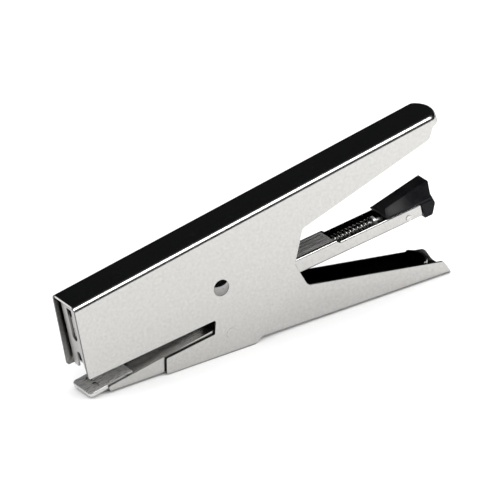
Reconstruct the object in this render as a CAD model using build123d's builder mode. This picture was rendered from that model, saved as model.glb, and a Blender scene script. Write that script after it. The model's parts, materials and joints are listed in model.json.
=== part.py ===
from build123d import *
import math
import os

# A hand-held stapling plier in bent sheet steel, in millimetres.
# +X runs from the jaw to the handles' rear ends, +Z is up, and Y = 0 is the plane of symmetry.
# It stands on the heel of its upper handle's cheeks, its anvil's rivet and its lower handle's rear end.

# ---- driving dimensions ----
PIVOT_X = -20.41         # pivot axis from the middle of the whole length
PIVOT_Z = 28.22          # pivot axis above the surface it stands on
FRAME_TILT = 9.9         # slope of the upper handle's top, rising to the rear
MAGAZINE_SLOPE = 3.66    # the open magazine drops this much against the upper handle
HANDLE_SLOPE = 10.3      # the lower handle's floor drops this much against the upper handle
HANDLE_DEPTH = 27.47     # pivot axis above the lower handle's floor

FRAME_WIDTH = 17.5
FRAME_SHEET = 1.0
FRAME_BEND = 2.3
FRAME_TOP = 23.1         # top of the upper handle above the pivot axis
FRAME_REAR = 105.4       # rear end of the upper handle's cheeks behind the pivot axis
FRAME_NOSE = 109.2       # middle of its rounded rear end
FRAME_CORNER = 3.2

ARM_WIDTH = 15.4
ARM_SHEET = 1.0
ARM_TOP = -15.8
ARM_FRONT = -55.7

HANDLE_WIDTH = 15.1
HANDLE_SHEET = 1.0
HANDLE_WALL = (91.6, 94.7)   # its rear wall behind the pivot axis, at the cheeks and in the middle
HANDLE_WALL_TOP = 8.2    # above the underside of its floor

MAGAZINE_WIDTH = 12.4
MAGAZINE_SHEET = 0.8
MAGAZINE_FLOOR = -10.9   # underside of the magazine's floor below the pivot axis
MAGAZINE_EAR = -4.45     # top of its walls beside the cover
MAGAZINE_WALL = -5.5     # top of its walls behind the cover
MAGAZINE_REAR = 91.9
NOSE_FRONT = -60.2
NOSE_TOP = 15.9
NOSE_FOOT = -11.4

PIN_RADIUS = 1.75
PIN_HEAD_RADIUS = 3.4
PIN_HEAD_HEIGHT = 1.2
RUNNING_FIT = 0.05       # radial clearance of everything that turns on a pin

STRIP_REAR = -34.0       # rear end of the staples still in the magazine
SPRING_RADIUS = 2.2      # middle of the wire
SPRING_WIRE = 0.7
ROD_RADIUS = 1.0
ROD_HEIGHT = -7.5        # rod axis below the pivot axis
KNOB_FRONT = 75.2
EPS = 0.01

half_frame = FRAME_WIDTH / 2
half_arm = ARM_WIDTH / 2
half_handle = HANDLE_WIDTH / 2
half_magazine = MAGAZINE_WIDTH / 2
magazine_inner = half_magazine - MAGAZINE_SHEET
floor_top = MAGAZINE_FLOOR + MAGAZINE_SHEET


def side_plane(angle, drop=0.0):
    """The plane Y = 0 with its x axis along a part that slopes up by angle, seen from -Y."""
    slope = math.radians(angle)
    along = Vector(math.cos(slope), 0, math.sin(slope))
    up = Vector(-math.sin(slope), 0, math.cos(slope))
    return Plane(origin=Vector(PIVOT_X, 0, PIVOT_Z) - up * drop, x_dir=along, z_dir=(0, -1, 0))


frame_side = side_plane(FRAME_TILT)
magazine_side = side_plane(FRAME_TILT - MAGAZINE_SLOPE)
handle_side = side_plane(FRAME_TILT - HANDLE_SLOPE, HANDLE_DEPTH)


def cross_section(side, at, height=0.0):
    """The plane square to a part's length, with its x axis along Y and its y axis up."""
    origin = side.from_local_coords((at, height, 0))
    return Plane(origin=origin, x_dir=(0, 1, 0), z_dir=side.x_dir)


def top_plane(side, height):
    """The plane along a part's length and across it, at a height, with its x axis rearward."""
    return Plane(origin=side.from_local_coords((0, height, 0)), x_dir=side.x_dir, z_dir=side.y_dir)


def flank_edges(part, side, half_width, test):
    """Edges where a flat flank meets the web or the end wall, picked by their middle point."""
    def wanted(edge):
        middle = side.to_local_coords(edge.position_at(0.5))
        return abs(abs(middle.Z) - half_width) < EPS and test(middle.X, middle.Y)
    return part.edges().filter_by(wanted)


def rounded_prism(side, outline, radii, half_width):
    """A solid of constant outline, symmetric about Y = 0, with an arc at each corner."""
    with BuildPart() as body:
        with BuildSketch(side):
            with BuildLine():
                FilletPolyline(outline, radius=radii, close=True)
            make_face()
        extrude(amount=half_width, both=True)
    return body.part


def bar(side, at, height, radius, low, high):
    """A round bar across the part from Y = low to Y = high."""
    with BuildPart() as body:
        with BuildSketch(Plane(side.origin + Vector(0, low, 0), x_dir=side.x_dir, z_dir=(0, -1, 0))):
            with Locations((at, height)):
                Circle(radius)
        extrude(amount=low - high)
    return body.part


def bent_shell(side, outline, radii, half_width, bend, test):
    """A drawn block whose long edges are rounded where test says so."""
    with BuildPart() as body:
        add(rounded_prism(side, outline, radii, half_width))
        fillet(flank_edges(body, side, half_width, test), bend)
    return body.part


# ---- upper handle, jaw cover and tongue: one drawn channel, open at the front and below ----
BLOCK_END = 90.0         # how far the drawn blocks run past what is trimmed away


def frame_block(inset):
    """The drawn block with its rounded rear end, or its hollow when inset is the sheet."""
    far = BLOCK_END + 5 * inset
    top = FRAME_TOP - inset
    half = half_frame - inset
    rear = FRAME_REAR - inset

    def on_rim(edge):
        middle = frame_side.to_local_coords(edge.position_at(0.5))
        return abs(middle.Y - top) < EPS and middle.X > EPS - far

    with BuildPart() as body:
        with BuildSketch(top_plane(frame_side, -far)) as plan:
            with BuildLine():
                Polyline((rear, half), (-far, half), (-far, -half), (rear, -half))
                ThreePointArc((rear, -half), (FRAME_NOSE - inset, 0), (rear, half))
            make_face()
            fillet(plan.vertices().group_by(Axis.X)[-1], FRAME_CORNER - inset)
        extrude(amount=far + top)
        fillet(body.edges().filter_by(on_rim), FRAME_BEND - inset)
    return body.part


frame_outline = [
    (-60.3, FRAME_TOP + 1),
    (-63.0, -8.0),
    (-5.9, -11.6),
    (-8.0, -17.2),
    (-30.0, -16.4),
    (-31.8, -22.9),
    (7.2, -29.9),
    (23.2, -22.2),
    (39.3, 6.1),
    (100.9, 14.4),
    (104.0, 18.9),
    (FRAME_NOSE + 1, 19.2),
    (FRAME_NOSE + 1, FRAME_TOP + 1),
]
frame_corners = [0, 0.9, 0.8, 0.5, 0.5, 0.8, 2.5, 5.0, 2.0, 2.5, 1.5, 0, 0]
ARM_PIN_AT = (-1.1, -20.4)
ARM_PIN_RADIUS = 2.25

with BuildPart() as upper_frame:
    add(frame_block(0))
    add(frame_block(FRAME_SHEET), mode=Mode.SUBTRACT)
    add(rounded_prism(frame_side, frame_outline, frame_corners, half_frame + 1), mode=Mode.INTERSECT)
    add(bar(frame_side, 0, 0, PIN_RADIUS + EPS, -half_frame, half_frame), mode=Mode.SUBTRACT)
    add(bar(frame_side, *ARM_PIN_AT, ARM_PIN_RADIUS + EPS, -half_frame, half_frame), mode=Mode.SUBTRACT)
upper_frame.part.label = "upper_frame"

# ---- anvil arm: a channel with its floor below, inside the tongue ----
tongue_fall = (29.9 - 22.9) / (7.2 + 31.8)


def arm_floor(u, lift=0.15):
    """The underside of the arm, just above the tongue's lower edges."""
    return -22.9 - tongue_fall * (u + 31.8) + lift


def arm_block(inset):
    """The arm's block, or its hollow when inset is the sheet."""
    ends = (-75 - inset, 20 + inset)
    outline = [(ends[0], 10 + inset)]
    outline += [(u, arm_floor(u) + inset) for u in ends]
    outline += [(ends[1], 10 + inset)]
    return bent_shell(frame_side, outline, [0] * 4, half_arm - inset, 1.6 - inset, lambda u, v: v < -20)


ARM_REAR = 0.6
arm_outline = [
    (ARM_FRONT, ARM_TOP),
    (ARM_FRONT + 0.4, arm_floor(ARM_FRONT) - 1),
    (ARM_REAR, arm_floor(ARM_REAR) - 1),
    (ARM_REAR, ARM_TOP),
]
ANVIL_RIVET_AT = -49.5
ANVIL_RIVET_RADIUS = 1.3

with BuildPart() as anvil_arm:
    add(arm_block(0))
    add(arm_block(ARM_SHEET), mode=Mode.SUBTRACT)
    add(rounded_prism(frame_side, arm_outline, [0.5, 0, 0, 0.8], half_arm + 1), mode=Mode.INTERSECT)
    add(bar(frame_side, *ARM_PIN_AT, ARM_PIN_RADIUS + EPS, -half_frame, half_frame), mode=Mode.SUBTRACT)
    with Locations(top_plane(frame_side, arm_floor(ANVIL_RIVET_AT))):
        with Locations((ANVIL_RIVET_AT, 0)):
            Cylinder(ANVIL_RIVET_RADIUS + EPS, 6, mode=Mode.SUBTRACT)
anvil_arm.part.label = "anvil_arm"

# ---- strip that closes the arm between its walls ----
STRIP_FRONT = -44.0
with BuildPart() as anvil_cover_strip:
    with BuildSketch(top_plane(frame_side, ARM_TOP - 0.9)):
        with Locations(((STRIP_FRONT - 2.0) / 2, 0)):
            RectangleRounded(-2.0 - STRIP_FRONT, 2 * (half_arm - ARM_SHEET) - 0.1, 0.6)
    extrude(amount=0.8)
anvil_cover_strip.part.label = "anvil_cover_strip"

# ---- anvil: a hardened plate with a lip ahead of the arm and two forming pockets ----
ANVIL_FRONT = -63.8
ANVIL_TOP = -15.0
ANVIL_HALF = 7.25
LIP_THICKNESS = 1.5
POCKET_AT = -58.4
lip_rear = ARM_FRONT - 0.05

with BuildPart() as anvil_plate:
    with BuildSketch(top_plane(frame_side, ANVIL_TOP - LIP_THICKNESS)):
        with BuildLine():
            FilletPolyline(
                (ANVIL_FRONT, -ANVIL_HALF), (lip_rear, -ANVIL_HALF), (lip_rear, ANVIL_HALF),
                (ANVIL_FRONT, ANVIL_HALF), radius=[1.9, 0, 0, 1.9], close=True,
            )
        make_face()
    extrude(amount=LIP_THICKNESS)
    with BuildSketch(top_plane(frame_side, ANVIL_TOP - 2.2)):
        with Locations(((lip_rear + STRIP_FRONT) / 2 - 0.1, 0)):
            Rectangle(STRIP_FRONT - lip_rear, 2 * (half_arm - ARM_SHEET) - 0.1)
    extrude(amount=2.2)
    front_rim = anvil_plate.edges().filter_by(
        lambda e: frame_side.to_local_coords(e.position_at(0.5)).Y > ANVIL_TOP - EPS
        and frame_side.to_local_coords(e.position_at(0.5)).X < lip_rear - 1
    )
    fillet(front_rim, 0.4)
    with BuildSketch(top_plane(frame_side, ANVIL_TOP)):
        with Locations((POCKET_AT, -2.6), (POCKET_AT, 2.6)):
            SlotOverall(4.2, 1.5, rotation=90)
    extrude(amount=-0.5, mode=Mode.SUBTRACT)
    with Locations(top_plane(frame_side, ANVIL_TOP)):
        with Locations((ANVIL_RIVET_AT, 0)):
            Cylinder(ANVIL_RIVET_RADIUS + EPS, 8, mode=Mode.SUBTRACT)
anvil_plate.part.label = "anvil_plate"

rivet_foot = arm_floor(ANVIL_RIVET_AT) - 0.2
with BuildPart() as anvil_rivet:
    with BuildSketch(top_plane(frame_side, rivet_foot)):
        with Locations((ANVIL_RIVET_AT, 0)):
            Circle(ANVIL_RIVET_RADIUS)
    extrude(amount=ANVIL_TOP - 0.1 - rivet_foot)
anvil_rivet.part.label = "anvil_rivet"

with BuildPart() as arm_pin:
    add(bar(frame_side, *ARM_PIN_AT, ARM_PIN_RADIUS, -half_frame - 0.05, half_frame + 0.05))
arm_pin.part.label = "arm_pin"

# ---- pivot: a pin with a domed head at each end ----
pin_end = half_frame + PIN_HEAD_HEIGHT
pin_section = Plane(origin=frame_side.origin, x_dir=(0, 1, 0), z_dir=(1, 0, 0))

with BuildPart() as pivot_pin:
    with BuildSketch(pin_section):
        with BuildLine():
            TangentArc((-pin_end, 0), (-half_frame, PIN_HEAD_RADIUS), tangent=(0, 1))
            Polyline(
                (-half_frame, PIN_HEAD_RADIUS), (-half_frame, PIN_RADIUS),
                (half_frame, PIN_RADIUS), (half_frame, PIN_HEAD_RADIUS),
            )
            TangentArc((pin_end, 0), (half_frame, PIN_HEAD_RADIUS), tangent=(0, 1))
            Line((pin_end, 0), (-pin_end, 0))
        make_face()
    revolve(axis=Axis(pin_section.origin, (0, 1, 0)))
pivot_pin.part.label = "pivot_pin"

pin_hole = PIN_RADIUS + RUNNING_FIT
BUSH_RADIUS = 2.3
bush_half = magazine_inner - 0.05

with BuildPart() as pivot_bush:
    add(bar(frame_side, 0, 0, BUSH_RADIUS, -bush_half, bush_half))
    add(bar(frame_side, 0, 0, pin_hole, -bush_half, bush_half), mode=Mode.SUBTRACT)
pivot_bush.part.label = "pivot_bush"

handle_inner = half_handle - HANDLE_SHEET
washer_faces = (half_magazine + 0.03, handle_inner - 0.03)

with BuildPart() as pivot_washers:
    for low, high in (washer_faces, (-washer_faces[1], -washer_faces[0])):
        add(bar(frame_side, 0, 0, 3.4, low, high))
    add(bar(frame_side, 0, 0, pin_hole, -half_frame, half_frame), mode=Mode.SUBTRACT)
pivot_washers.part.label = "pivot_washers"

# ---- magazine: a long channel with ears round the pin and a rolled edge on its raised walls ----
EAR_START = 9.0
EAR_END = 53.4
magazine_outline = [
    (NOSE_FRONT + 0.8, MAGAZINE_EAR),
    (NOSE_FRONT + 0.8, MAGAZINE_FLOOR - 1),
    (MAGAZINE_REAR, MAGAZINE_FLOOR - 1),
    (MAGAZINE_REAR, MAGAZINE_WALL),
    (EAR_END + 1.2, MAGAZINE_WALL),
    (EAR_END, MAGAZINE_EAR),
    (7.0, MAGAZINE_EAR),
    (3.4, 4.4),
    (-3.4, 4.4),
    (-7.0, MAGAZINE_EAR),
]
magazine_corners = [0, 0, 0, 0.8, 0.6, 0.7, 2.0, 2.8, 2.8, 2.0]
RIVET_AT = (85.5, -9.0)
RIVET_RADIUS = 1.2


def magazine_block(inset):
    """The magazine's block, or its hollow when inset is the sheet."""
    front = NOSE_FRONT + 0.8 - 5 * inset
    rear = MAGAZINE_REAR + 5 * inset
    low = MAGAZINE_FLOOR + inset
    outline = [(front, 12 + inset), (front, low), (rear, low), (rear, 12 + inset)]
    bend = 1.2 - inset
    half = half_magazine - inset
    return bent_shell(magazine_side, outline, [0] * 4, half, bend, lambda s, w: w < low + EPS)


with BuildPart() as magazine_channel:
    add(magazine_block(0))
    add(magazine_block(MAGAZINE_SHEET), mode=Mode.SUBTRACT)
    add(rounded_prism(magazine_side, magazine_outline, magazine_corners, half_magazine), mode=Mode.INTERSECT)
    with BuildSketch(cross_section(magazine_side, EAR_START)):
        for side in (-1, 1):
            with Locations((side * (magazine_inner - 0.2), MAGAZINE_EAR - 0.4)):
                Rectangle(0.6, 0.8)
    extrude(amount=EAR_END - 0.6 - EAR_START)
    rolled = flank_edges(magazine_channel, magazine_side, half_magazine,
                         lambda s, w: 20 < s < EAR_END and abs(w - MAGAZINE_EAR) < EPS)
    fillet(rolled, 0.7)
    with Locations(cross_section(magazine_side, NOSE_FRONT + 0.8, floor_top)):
        Box(2 * magazine_inner, 2.5, 2 * 1.05, mode=Mode.SUBTRACT)
    add(bar(magazine_side, 0, 0, pin_hole, -half_frame, half_frame), mode=Mode.SUBTRACT)
    add(bar(magazine_side, *RIVET_AT, RIVET_RADIUS + EPS, -half_frame, half_frame), mode=Mode.SUBTRACT)
magazine_channel.part.label = "magazine_channel"

# ---- nose plate: the slotted driver guide, with a bent flange down each side ----
with BuildPart() as nose_plate:
    with BuildSketch(cross_section(magazine_side, NOSE_FRONT)):
        with Locations((0, (NOSE_TOP + NOSE_FOOT) / 2)):
            Rectangle(MAGAZINE_WIDTH, NOSE_TOP - NOSE_FOOT)
    extrude(amount=0.8)
    with BuildSketch(cross_section(magazine_side, NOSE_FRONT + 0.8)):
        for side in (-1, 1):
            with Locations((side * (half_magazine - 0.4), (NOSE_TOP + MAGAZINE_EAR) / 2)):
                Rectangle(0.8, NOSE_TOP - MAGAZINE_EAR - 0.1)
    extrude(amount=2.8)
    nose_edges = flank_edges(nose_plate, magazine_side, half_magazine,
                             lambda s, w: s < NOSE_FRONT + EPS and abs(w) < 4)
    fillet(nose_edges, 0.75)
    with BuildSketch(cross_section(magazine_side, NOSE_FRONT)):
        with BuildLine():
            FilletPolyline(
                (-1.75, 15.0), (-1.75, 1.9), (0, 0.5), (1.75, 1.9), (1.75, 15.0),
                radius=[0.4, 0.8, 0.4, 0.8, 0.4], close=True,
            )
        make_face()
        with BuildLine():
            FilletPolyline(
                (-2.9, NOSE_FOOT - 1), (-1.1, -4.2), (1.1, -4.2), (2.9, NOSE_FOOT - 1),
                radius=[0, 0.9, 0.9, 0], close=True,
            )
        make_face()
    extrude(amount=2, both=True, mode=Mode.SUBTRACT)
nose_plate.part.label = "nose_plate"

# ---- magazine cover: a ribbed strip between the rolled edges ----
COVER_HALF = magazine_inner - 0.55
with BuildPart() as magazine_cover:
    with BuildSketch(top_plane(magazine_side, MAGAZINE_EAR - 0.35)):
        with Locations(((EAR_START + EAR_END - 0.8) / 2, 0)):
            Rectangle(EAR_END - 0.8 - EAR_START, 2 * COVER_HALF)
    extrude(amount=0.4)
    with BuildSketch(top_plane(magazine_side, MAGAZINE_EAR)):
        with Locations(((EAR_START + EAR_END - 0.8) / 2, 0)):
            with GridLocations(1, 2.2, 1, 4):
                SlotOverall(EAR_END - 3 - EAR_START, 0.8)
    extrude(amount=0.4)
magazine_cover.part.label = "magazine_cover"

# ---- a part-used strip of staples ----
STAPLE_WIRE = 0.5
STAPLE_HALF = 5.1
STAPLE_TOP = MAGAZINE_EAR - 0.9
STRIP_START = NOSE_FRONT + 1.9
staple_pitch = 0.54
with BuildPart() as staple_strip:
    with BuildSketch(cross_section(magazine_side, STRIP_START)):
        staple_foot = floor_top + 0.05
        with Locations((0, (STAPLE_TOP + staple_foot) / 2)):
            Rectangle(2 * STAPLE_HALF, STAPLE_TOP - staple_foot)
        with Locations((0, (STAPLE_TOP + staple_foot) / 2 - STAPLE_WIRE)):
            Rectangle(2 * (STAPLE_HALF - STAPLE_WIRE), STAPLE_TOP - staple_foot, mode=Mode.SUBTRACT)
    extrude(amount=STRIP_REAR - STRIP_START)
    for k in range(1, int((STRIP_REAR - STRIP_START) / staple_pitch)):
        with BuildSketch(cross_section(magazine_side, STRIP_START + k * staple_pitch, STAPLE_TOP)):
            Rectangle(2 * STAPLE_HALF + 1, 0.16)
        extrude(amount=0.08, mode=Mode.SUBTRACT)
staple_strip.part.label = "staple_strip"

with BuildPart() as magazine_rivets:
    add(bar(magazine_side, *RIVET_AT, RIVET_RADIUS, magazine_inner, half_magazine + 0.2))
    add(bar(magazine_side, *RIVET_AT, RIVET_RADIUS, -half_magazine - 0.2, -magazine_inner))
magazine_rivets.part.label = "magazine_rivets"

# ---- lower handle: a channel whose cheeks cross the pivot and run forward as the driver lever ----
def handle_block(inset):
    """The handle's block, or its hollow when inset is the sheet."""
    far = BLOCK_END + 20 + 5 * inset
    outline = [(-far, far), (-far, inset), (far, inset), (far, far)]
    return bent_shell(handle_side, outline, [0] * 4, half_handle - inset, 2.0 - inset, lambda p, q: q < 2.5)


DRIVER_PIN_AT = (-53.7, 11.3)
DRIVER_PIN_RADIUS = 1.0
SPACER_AT = (-26.0, 7.0)
SPACER_RADIUS = 1.5
handle_outline = [
    (3.0, -23.5),
    (8.6, -31.2),
    (96.0, -46.1),
    (93.6, -38.8),
    (35.5, -18.5),
    (32.4, -6.5),
    (14.0, 10.0),
    (-20.0, 12.5),
    (-53.6, 14.6),
    (-57.0, 9.0),
    (-14.0, -4.5),
    (2.9, -9.5),
]
handle_corners = [3, 0, 0, 1.5, 2.5, 6, 9, 30, 2.6, 2.4, 10, 3]

with BuildPart() as lower_handle:
    add(handle_block(0))
    add(handle_block(HANDLE_SHEET), mode=Mode.SUBTRACT)
    add(rounded_prism(frame_side, handle_outline, handle_corners, half_handle + 1), mode=Mode.INTERSECT)
    with BuildSketch(top_plane(handle_side, HANDLE_SHEET / 2)):
        wall_end = half_handle - HANDLE_SHEET + 0.2
        ends, middle = HANDLE_WALL
        with BuildLine():
            faces = [
                ThreePointArc((ends - lift, -wall_end), (middle - lift, 0), (ends - lift, wall_end))
                for lift in (0, HANDLE_SHEET)
            ]
            for at in (0, 1):
                Line(faces[0] @ at, faces[1] @ at)
        make_face()
    extrude(amount=HANDLE_WALL_TOP - HANDLE_SHEET / 2)
    add(bar(frame_side, 0, 0, pin_hole, -half_frame, half_frame), mode=Mode.SUBTRACT)
    add(bar(frame_side, *DRIVER_PIN_AT, DRIVER_PIN_RADIUS + EPS, -half_frame, half_frame), mode=Mode.SUBTRACT)
    add(bar(frame_side, *SPACER_AT, SPACER_RADIUS + EPS, -half_frame, half_frame), mode=Mode.SUBTRACT)
lower_handle.part.label = "lower_handle"

with BuildPart() as driver_pin:
    add(bar(frame_side, *DRIVER_PIN_AT, DRIVER_PIN_RADIUS, -half_handle, half_handle))
driver_pin.part.label = "driver_pin"

with BuildPart() as lever_spacer:
    add(bar(frame_side, *SPACER_AT, SPACER_RADIUS, -half_handle, half_handle))
lever_spacer.part.label = "lever_spacer"

# ---- driver blade: slides behind the nose plate, moved by the pin in its two slotted ears ----
BLADE_HALF = 4.9
BLADE_FOOT = -4.6
BLADE_HEAD = 10.6
blade_front = NOSE_FRONT + 0.9
pin_in_magazine = magazine_side.to_local_coords(frame_side.from_local_coords((*DRIVER_PIN_AT, 0)))
slot_play = 0.8

with BuildPart() as driver_blade:
    with BuildSketch(cross_section(magazine_side, blade_front)):
        with Locations((0, (BLADE_HEAD + BLADE_FOOT) / 2)):
            Rectangle(2 * BLADE_HALF, BLADE_HEAD - BLADE_FOOT)
    extrude(amount=0.8)
    ear_reach = pin_in_magazine.X + 2.6 - blade_front
    with BuildSketch(cross_section(magazine_side, blade_front)):
        for side in (-1, 1):
            with Locations((side * (BLADE_HALF - 0.5), pin_in_magazine.Y)):
                Rectangle(0.8, 5.0)
    extrude(amount=ear_reach)
    with BuildSketch(magazine_side):
        with Locations((pin_in_magazine.X - slot_play / 4, pin_in_magazine.Y)):
            SlotOverall(2 * DRIVER_PIN_RADIUS + slot_play, 2 * (DRIVER_PIN_RADIUS + RUNNING_FIT))
    extrude(amount=half_frame, both=True, mode=Mode.SUBTRACT)
driver_blade.part.label = "driver_blade"

# ---- handle spring: two torsion coils round the bush, with legs to the lever and the web ----
COIL_RADIUS = 2.85
COIL_WIRE = 0.8
COIL_TURNS = 2.5
coil_pitch = COIL_WIRE + 0.08


def wire(start, end, radius):
    """A straight length of round wire."""
    run = end - start
    with BuildPart() as body:
        with BuildSketch(Plane(origin=start, z_dir=run)):
            Circle(radius)
        extrude(amount=run.length)
    return body.part


def helix_wire(centre, direction, radius, pitch, turns, wire_radius):
    """A coil of round wire."""
    path = Helix(pitch, pitch * turns, radius, center=centre, direction=direction, mode=Mode.PRIVATE)
    with BuildPart() as body:
        with BuildSketch(Plane(origin=path @ 0, z_dir=path % 0)):
            Circle(wire_radius)
        sweep(path=path, is_frenet=True)
    return body.part


def frame_point(u, v, y):
    """A point of the upper handle's own coordinates, at a place across the width."""
    return frame_side.from_local_coords((u, v, 0)) + Vector(0, y, 0)


coil_near = 2.7
coil_far = coil_near + coil_pitch * COIL_TURNS
with BuildPart() as handle_spring:
    coil_start = frame_point(0, 0, coil_near)
    add(helix_wire(coil_start, (0, 1, 0), COIL_RADIUS, coil_pitch, COIL_TURNS, COIL_WIRE / 2))
    front_leg = coil_near + 0.3
    rear_leg = coil_far - 0.3
    add(wire(frame_point(-0.83, -2.73, front_leg), frame_point(-28.0, 5.3, front_leg), COIL_WIRE / 2))
    add(wire(frame_point(-1.94, 2.08, rear_leg), frame_point(17.6, 20.4, rear_leg), COIL_WIRE / 2))
    mirror(about=Plane.XZ)
handle_spring.part.label = "handle_spring"

# ---- loading knob: moulded plastic, a wedge-shaped grip with a plug and a hooked end ----
RIDGE_HALF = 3.25
knob_base = MAGAZINE_WALL + 0.05
plug_front = 77.0


def knob_section(at, top):
    """Half-symmetric section of the grip: full width at the base, narrow at the ridge."""
    with BuildSketch(cross_section(magazine_side, at)) as section:
        with BuildLine():
            Polyline(
                (-half_magazine, knob_base), (-half_magazine, knob_base + 0.9), (-RIDGE_HALF, top),
                (RIDGE_HALF, top), (half_magazine, knob_base + 0.9), (half_magazine, knob_base), close=True,
            )
        make_face()
    return section.sketch


knob_profile = [
    (KNOB_FRONT, knob_base),
    (78.0, -1.9),
    (98.3, 1.6),
    (96.9, -3.6),
    (98.0, -7.6),
    (95.6, -12.6),
    (92.2, -12.1),
    (MAGAZINE_REAR + 0.15, knob_base),
]
knob_corners = [0.8, 0.8, 0.6, 2.5, 1.2, 0.9, 0.9, 0.3]

with BuildPart() as knob:
    loft([knob_section(KNOB_FRONT, -2.75), knob_section(99.0, 1.45)], ruled=True)
    with BuildSketch(cross_section(magazine_side, MAGAZINE_REAR + 0.15, knob_base - 3.4)):
        RectangleRounded(MAGAZINE_WIDTH, 7.2, 1.0)
    extrude(amount=6.8)
    add(rounded_prism(magazine_side, knob_profile, knob_corners, half_magazine), mode=Mode.INTERSECT)
    with BuildSketch(cross_section(magazine_side, plug_front, (knob_base + floor_top) / 2 + 0.15)):
        RectangleRounded(2 * magazine_inner - 0.4, knob_base - floor_top + 0.1, 0.5)
    extrude(amount=MAGAZINE_REAR + 1 - plug_front)
    with Locations(cross_section(magazine_side, plug_front - 1, ROD_HEIGHT)):
        Cylinder(ROD_RADIUS + EPS, 2 * 12.0, mode=Mode.SUBTRACT)
    add(bar(magazine_side, 83.0, ROD_HEIGHT, 0.5 + EPS, -half_frame, half_frame), mode=Mode.SUBTRACT)
knob.part.label = "knob"

with BuildPart() as knob_pin:
    add(bar(magazine_side, 83.0, ROD_HEIGHT, 0.5, -magazine_inner + 0.3, magazine_inner - 0.3))
knob_pin.part.label = "knob_pin"

# ---- guide rod, pusher, spring seat and pusher spring ----
PUSHER_LENGTH = 7.8
PUSHER_FRONT = STRIP_REAR + 0.2
rod_front = PUSHER_FRONT + 0.8
rod_rear = plug_front + 10.9

with BuildPart() as guide_rod:
    with BuildSketch(cross_section(magazine_side, rod_front, ROD_HEIGHT)):
        Circle(ROD_RADIUS)
    extrude(amount=rod_rear - rod_front)
    add(bar(magazine_side, 83.0, ROD_HEIGHT, 0.5 + EPS, -half_frame, half_frame), mode=Mode.SUBTRACT)
guide_rod.part.label = "guide_rod"

pusher_top = STAPLE_TOP
pusher_foot = floor_top + 0.1
with BuildPart() as pusher:
    with BuildSketch(cross_section(magazine_side, PUSHER_FRONT)):
        with Locations((0, (pusher_top + pusher_foot) / 2)):
            RectangleRounded(2 * STAPLE_HALF, pusher_top - pusher_foot, 0.4)
    extrude(amount=PUSHER_LENGTH)
    with Locations(cross_section(magazine_side, PUSHER_FRONT, ROD_HEIGHT)):
        Cylinder(ROD_RADIUS + RUNNING_FIT, 3 * PUSHER_LENGTH, mode=Mode.SUBTRACT)
pusher.part.label = "pusher"

SEAT_AT = 72.6
with BuildPart() as spring_seat:
    with BuildSketch(cross_section(magazine_side, SEAT_AT, ROD_HEIGHT)):
        Circle(2.45)
        Circle(ROD_RADIUS + 0.03, mode=Mode.SUBTRACT)
    extrude(amount=1.1)
spring_seat.part.label = "spring_seat"

spring_front = PUSHER_FRONT + PUSHER_LENGTH + SPRING_WIRE / 2 + 0.05
spring_turns = 56
spring_pitch = (SEAT_AT - SPRING_WIRE / 2 - 0.05 - spring_front) / spring_turns
spring_start = magazine_side.from_local_coords((spring_front, ROD_HEIGHT, 0))

with BuildPart() as pusher_spring:
    along = magazine_side.x_dir
    add(helix_wire(spring_start, along, SPRING_RADIUS, spring_pitch, spring_turns, SPRING_WIRE / 2))
pusher_spring.part.label = "pusher_spring"

# ---- one file for each piece ----
pieces = [
    upper_frame, anvil_arm, anvil_cover_strip, anvil_plate, anvil_rivet, arm_pin, pivot_pin, pivot_bush,
    pivot_washers, magazine_channel, nose_plate, magazine_cover, staple_strip, magazine_rivets, lower_handle,
    driver_pin, lever_spacer, driver_blade, handle_spring, knob, knob_pin, guide_rod, pusher, spring_seat,
    pusher_spring,
]
os.makedirs("parts", exist_ok=True)
for piece in pieces:
    export_step(piece.part, f"parts/{piece.part.label}.step")
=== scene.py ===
import json
import math

import bpy
from mathutils import Matrix, Vector

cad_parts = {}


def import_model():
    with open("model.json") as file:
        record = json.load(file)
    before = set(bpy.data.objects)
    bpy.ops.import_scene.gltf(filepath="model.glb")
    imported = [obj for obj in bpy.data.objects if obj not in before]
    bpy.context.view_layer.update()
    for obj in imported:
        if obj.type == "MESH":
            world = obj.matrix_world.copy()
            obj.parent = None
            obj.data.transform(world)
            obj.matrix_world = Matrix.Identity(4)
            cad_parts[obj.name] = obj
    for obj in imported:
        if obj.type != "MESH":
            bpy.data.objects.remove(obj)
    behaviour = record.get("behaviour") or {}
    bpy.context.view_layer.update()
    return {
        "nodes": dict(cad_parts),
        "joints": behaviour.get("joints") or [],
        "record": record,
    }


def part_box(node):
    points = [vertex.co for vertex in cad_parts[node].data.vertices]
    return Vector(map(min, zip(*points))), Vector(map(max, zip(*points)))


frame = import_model()
joints = {joint["name"]: joint for joint in frame["joints"]}
MM = 0.001

# ---- camera: a long lens, turned about the upright and rolled a little ----
AZIMUTH = math.radians(-28.0)
ELEVATION = math.radians(25.9)
ROLL = math.radians(6.1)
DISTANCE = 3.0
VIEW_WIDTH = 0.1908      # width of the picture at the object
SENSOR = 36.0
PICTURE_SHIFT = (0.01088, 0.0145)    # the picture's middle from the pivot, to the right and up
CLIP_END = 20.0


def camera_axes():
    """The picture's right and up, and the direction from the object to the camera."""
    right = Vector((math.cos(AZIMUTH), math.sin(AZIMUTH), 0))
    back = Vector((
        math.sin(AZIMUTH) * math.cos(ELEVATION),
        -math.cos(AZIMUTH) * math.cos(ELEVATION),
        math.sin(ELEVATION),
    ))
    up = back.cross(right)
    rolled_right = right * math.cos(ROLL) - up * math.sin(ROLL)
    rolled_up = right * math.sin(ROLL) + up * math.cos(ROLL)
    return rolled_right, rolled_up, back


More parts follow.
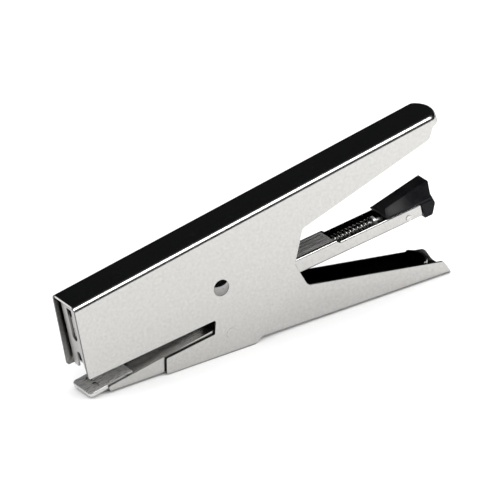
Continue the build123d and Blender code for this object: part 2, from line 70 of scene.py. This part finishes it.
pivot = Vector(joints["magazine_hinge"]["pos_m"])
near_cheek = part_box("upper_frame")[0].y
right, up, back = camera_axes()
shift_right, shift_up = PICTURE_SHIFT
target = Vector((pivot.x, near_cheek, pivot.z)) + shift_right * right + shift_up * up
camera_data = bpy.data.cameras.new("camera")
camera_data.sensor_width = SENSOR
camera_data.lens = SENSOR * DISTANCE / VIEW_WIDTH
camera_data.clip_end = CLIP_END
camera = bpy.data.objects.new("camera", camera_data)
turned = Matrix((right, up, back)).transposed().to_4x4()
camera.matrix_world = Matrix.Translation(target + back * DISTANCE) @ turned
bpy.context.scene.collection.objects.link(camera)
bpy.context.scene.camera = camera


# ---- helpers for materials ----
OCCLUSION_SAMPLES = 12
CREASE_REACH = 1.2 * MM      # reach of the painted shade in creases between pieces
FOLD_REACH = 22 * MM         # reach of the painted shade on the insides of folded sheet
PART_REACH = 1.6 * MM        # reach of the painted shade in creases round the nose plate and the rivet
FITTING_REACH = 2.0 * MM     # reach of the painted shade in creases round the small parts
CHEEK_INSIDE = 6.4 * MM      # cut edges nearer the middle plane are not cheeks
EDGE_FACING = 0.7            # how far along the length a cut edge faces
# colour the cut edges are multiplied by: a painted dark reflection
EDGE_SHADE = (0.1, 0.1, 0.1)


def new_material(name, **values):
    """A material with a Principled shader, and values set on the shader's own sockets."""
    material = bpy.data.materials.new(name)
    material.use_nodes = True
    shader = material.node_tree.nodes["Principled BSDF"]
    for socket, value in values.items():
        shader.inputs[socket.replace("_", " ").title().replace("Ior", "IOR")].default_value = value
    return material, material.node_tree, shader


def object_coordinates(tree, scale):
    """Object coordinates stretched by scale."""
    where = tree.nodes.new("ShaderNodeTexCoord")
    mapping = tree.nodes.new("ShaderNodeMapping")
    mapping.vector_type = "POINT"
    mapping.inputs["Scale"].default_value = scale
    tree.links.new(where.outputs["Object"], mapping.inputs["Vector"])
    return mapping.outputs["Vector"]


def noise(tree, vector, scale, detail=3.0, roughness=0.55):
    """A noise pattern's value."""
    node = tree.nodes.new("ShaderNodeTexNoise")
    node.inputs["Scale"].default_value = scale
    node.inputs["Detail"].default_value = detail
    node.inputs["Roughness"].default_value = roughness
    tree.links.new(vector, node.inputs["Vector"])
    return node.outputs["Fac"]


def remap(tree, value, low, high, start=0.3, end=0.7):
    """A value from start..end turned into low..high."""
    node = tree.nodes.new("ShaderNodeMapRange")
    node.inputs["From Min"].default_value = start
    node.inputs["From Max"].default_value = end
    node.inputs["To Min"].default_value = low
    node.inputs["To Max"].default_value = high
    tree.links.new(value, node.inputs["Value"])
    return node.outputs["Result"]


def two_tone(tree, value, dark, light, start=0.3, end=0.7):
    """A colour between dark and light."""
    node = tree.nodes.new("ShaderNodeValToRGB")
    node.color_ramp.elements[0].position = start
    node.color_ramp.elements[0].color = (*dark, 1)
    node.color_ramp.elements[1].position = end
    node.color_ramp.elements[1].color = (*light, 1)
    tree.links.new(value, node.inputs["Fac"])
    return node.outputs["Color"]


def bump(tree, shader, value, distance, strength=1.0):
    """Adds relief of a height in metres."""
    node = tree.nodes.new("ShaderNodeBump")
    node.inputs["Strength"].default_value = strength
    node.inputs["Distance"].default_value = distance
    tree.links.new(value, node.inputs["Height"])
    tree.links.new(node.outputs["Normal"], shader.inputs["Normal"])


def multiply(tree, first, second):
    """Two colours multiplied."""
    node = tree.nodes.new("ShaderNodeMix")
    node.data_type = "RGBA"
    node.blend_type = "MULTIPLY"
    node.inputs["Factor"].default_value = 1.0
    tree.links.new(first, node.inputs["A"])
    tree.links.new(second, node.inputs["B"])
    return node.outputs["Result"]


def paint_occlusion_shade(tree, colour, reach, own, start, end, darkest=0.015):
    """Painted shade: the colour darkened where nearby surfaces, only the piece's own or all, hide the
    surroundings.
    """
    open_air = tree.nodes.new("ShaderNodeAmbientOcclusion")
    open_air.samples = OCCLUSION_SAMPLES
    open_air.only_local = own
    open_air.inputs["Distance"].default_value = reach
    lit = two_tone(tree, open_air.outputs["AO"], (darkest, darkest, darkest), (1, 1, 1), start, end)
    return multiply(tree, colour, lit)


def larger_than(tree, value, bound):
    """One where the size of a value is over the bound, and nought elsewhere."""
    size = tree.nodes.new("ShaderNodeMath")
    size.operation = "ABSOLUTE"
    over = tree.nodes.new("ShaderNodeMath")
    over.operation = "GREATER_THAN"
    over.inputs[1].default_value = bound
    tree.links.new(value, size.inputs[0])
    tree.links.new(size.outputs["Value"], over.inputs[0])
    return over.outputs["Value"]


def painted_dark_cut_edges(tree, colour):
    """Painted dark reflection: the colour darkened on the cheeks' cut edges that face along the length.
    """
    where = tree.nodes.new("ShaderNodeTexCoord")
    facing = tree.nodes.new("ShaderNodeSeparateXYZ")
    place = tree.nodes.new("ShaderNodeSeparateXYZ")
    tree.links.new(where.outputs["Normal"], facing.inputs["Vector"])
    tree.links.new(where.outputs["Object"], place.inputs["Vector"])
    both = tree.nodes.new("ShaderNodeMath")
    both.operation = "MULTIPLY"
    tree.links.new(larger_than(tree, facing.outputs["X"], EDGE_FACING), both.inputs[0])
    tree.links.new(larger_than(tree, place.outputs["Y"], CHEEK_INSIDE), both.inputs[1])
    return multiply(tree, colour, two_tone(tree, both.outputs["Value"], (1, 1, 1), EDGE_SHADE))


def painted_crease_and_fold_shade(tree, colour):
    """The colour with painted shade in the creases, and painted shade on the insides of folded sheet.
    """
    creased = paint_occlusion_shade(tree, painted_dark_cut_edges(tree, colour), CREASE_REACH, False, 0.5, 0.85)
    return paint_occlusion_shade(tree, creased, FOLD_REACH, True, 0.62, 0.97, 0.08)


# ---- materials ----
def satin_plate():
    """Satin nickel and chrome over rolled sheet: fine grain and a fine mottle."""
    material, tree, shader = new_material("satin_plate", metallic=1.0)
    even = object_coordinates(tree, (1, 1, 1))
    patches = noise(tree, even, 900.0, 4.0)
    grain = noise(tree, even, 5200.0, 2.0, 0.6)
    colour = two_tone(tree, patches, (0.475, 0.468, 0.454), (0.555, 0.548, 0.532))
    # painted shade in creases and inside the folded sheet, and a painted dark reflection on the cut
    # edges
    tree.links.new(painted_crease_and_fold_shade(tree, colour), shader.inputs["Base Color"])
    tree.links.new(remap(tree, grain, 0.22, 0.28), shader.inputs["Roughness"])
    bump(tree, shader, grain, 0.000004, 0.25)
    return material


def nose_steel():
    """Darker steel, brushed up and down."""
    material, tree, shader = new_material("nose_steel", metallic=1.0)
    drawn = object_coordinates(tree, (1500, 1500, 60))
    streaks = noise(tree, drawn, 1.0, 3.0)
    colour = two_tone(tree, streaks, (0.36, 0.35, 0.345), (0.48, 0.47, 0.46))
    # painted shade in the creases round the nose plate
    tree.links.new(paint_occlusion_shade(tree, colour, PART_REACH, False, 0.3, 0.8), shader.inputs["Base Color"])
    tree.links.new(remap(tree, streaks, 0.28, 0.42), shader.inputs["Roughness"])
    bump(tree, shader, streaks, 0.000003, 0.5)
    return material


def plain_steel():
    """Ground and tempered steel of the small parts, a little dull."""
    material, tree, shader = new_material("plain_steel", metallic=0.7)
    drawn = object_coordinates(tree, (120, 1800, 1800))
    streaks = noise(tree, drawn, 1.0, 3.0)
    colour = two_tone(tree, streaks, (0.50, 0.495, 0.485), (0.64, 0.635, 0.62))
    # painted shade in the creases round the small parts
    tree.links.new(paint_occlusion_shade(tree, colour, FITTING_REACH, False, 0.3, 0.8), shader.inputs["Base Color"])
    tree.links.new(remap(tree, streaks, 0.22, 0.38), shader.inputs["Roughness"])
    bump(tree, shader, streaks, 0.000003, 0.4)
    return material


def polished_pin():
    """The pivot's polished dome, with hairline marks."""
    material, tree, shader = new_material("polished_pin", metallic=1.0)
    marks = noise(tree, object_coordinates(tree, (1, 1, 1)), 1600.0, 4.0, 0.7)
    colour = two_tone(tree, marks, (0.24, 0.235, 0.23), (0.31, 0.305, 0.30))
    # painted shade in the creases round the rivet
    tree.links.new(paint_occlusion_shade(tree, colour, PART_REACH, False, 0.5, 1.0), shader.inputs["Base Color"])
    tree.links.new(remap(tree, marks, 0.08, 0.17), shader.inputs["Roughness"])
    return material


def staple_wire():
    """Bright zinc on glued wire."""
    material, tree, shader = new_material("staple_wire", metallic=1.0)
    specks = noise(tree, object_coordinates(tree, (1, 1, 1)), 2500.0, 3.0, 0.6)
    colour = two_tone(tree, specks, (0.62, 0.63, 0.64), (0.76, 0.77, 0.78))
    tree.links.new(colour, shader.inputs["Base Color"])
    tree.links.new(remap(tree, specks, 0.25, 0.4), shader.inputs["Roughness"])
    return material


def spring_wire():
    """Music wire with a bright sheen."""
    material, tree, shader = new_material("spring_wire", metallic=1.0)
    specks = noise(tree, object_coordinates(tree, (1, 1, 1)), 3500.0, 3.0, 0.6)
    colour = two_tone(tree, specks, (0.50, 0.49, 0.47), (0.68, 0.67, 0.65))
    tree.links.new(colour, shader.inputs["Base Color"])
    tree.links.new(remap(tree, specks, 0.16, 0.3), shader.inputs["Roughness"])
    return material


def black_plastic():
    """Glossy moulded plastic with a faint orange-peel."""
    material, tree, shader = new_material("black_plastic", metallic=0.0, specular_ior_level=0.1)
    even = object_coordinates(tree, (1, 1, 1))
    peel = noise(tree, even, 700.0, 2.0)
    scuffs = noise(tree, even, 160.0, 5.0, 0.65)
    colour = two_tone(tree, scuffs, (0.004, 0.004, 0.005), (0.009, 0.009, 0.010))
    tree.links.new(colour, shader.inputs["Base Color"])
    tree.links.new(remap(tree, scuffs, 0.22, 0.34), shader.inputs["Roughness"])
    bump(tree, shader, peel, 0.00001, 0.4)
    return material


slot_materials = {
    "nickel_chrome_sheet": satin_plate(),
    "nose_steel": nose_steel(),
    "hardened_steel": plain_steel(),
    "polished_pin": polished_pin(),
    "staple_wire": staple_wire(),
    "spring_wire": spring_wire(),
    "black_plastic": black_plastic(),
}
SMOOTH_ANGLE = math.radians(30)
for entry in frame["record"]["subparts"]:
    node = frame["nodes"][entry["node"]]
    node.data.materials.clear()
    node.data.materials.append(slot_materials[entry["material_slot"]])
    node.data.polygons.foreach_set("use_smooth", [True] * len(node.data.polygons))
    node.data.set_sharp_from_angle(angle=SMOOTH_ANGLE)


# ---- stage, light and world ----
FLOOR_HALF = 3.0


def floor():
    """A pale floor that fills the picture."""
    half = FLOOR_HALF
    corners = [(-half, -half, 0), (half, -half, 0), (half, half, 0), (-half, half, 0)]
    mesh = bpy.data.meshes.new("floor")
    mesh.from_pydata(corners, [], [(0, 1, 2, 3)])
    piece = bpy.data.objects.new("floor", mesh)
    bpy.context.scene.collection.objects.link(piece)
    material, _, shader = new_material("floor", roughness=0.9, specular_ior_level=0.0)
    shader.inputs["Base Color"].default_value = (0.92, 0.92, 0.92, 1)
    mesh.materials.append(material)


def softbox(name, direction, distance, size, power, seen=True):
    """A square area light that faces the object: either seen in reflections, or only diffuse."""
    data = bpy.data.lights.new(name, "AREA")
    data.shape = "SQUARE"
    data.size = size
    data.energy = power
    light = bpy.data.objects.new(name, data)
    place = Vector(direction).normalized() * distance
    light.location = place
    light.rotation_euler = place.to_track_quat("Z", "Y").to_euler()
    light.visible_glossy = seen
    light.visible_diffuse = not seen
    bpy.context.scene.collection.objects.link(light)


def world(ambient, reflected):
    """Even pale light all round, and a dark studio in what the metal reflects."""
    scene_world = bpy.data.worlds.new("studio")
    scene_world.use_nodes = True
    bpy.context.scene.world = scene_world
    tree = scene_world.node_tree
    path = tree.nodes.new("ShaderNodeLightPath")
    dark = tree.nodes.new("ShaderNodeBackground")
    mix = tree.nodes.new("ShaderNodeMixShader")
    pale = tree.nodes["Background"]
    pale.inputs["Color"].default_value = (1, 1, 1, 1)
    pale.inputs["Strength"].default_value = ambient
    dark.inputs["Color"].default_value = (0.9, 0.95, 1, 1)
    dark.inputs["Strength"].default_value = reflected
    tree.links.new(path.outputs["Is Glossy Ray"], mix.inputs["Fac"])
    tree.links.new(pale.outputs["Background"], mix.inputs[1])
    tree.links.new(dark.outputs["Background"], mix.inputs[2])
    tree.links.new(mix.outputs["Shader"], tree.nodes["World Output"].inputs["Surface"])


floor()
world(ambient=1.45, reflected=0.010)
softbox("overhead", (0.2, -0.45, 0.87), distance=1.2, size=0.5, power=7.0)
softbox("right_fill", (0.75, -0.75, 0.55), distance=0.55, size=0.4, power=0.9, seen=False)
bpy.context.scene.view_settings.view_transform = "Standard"
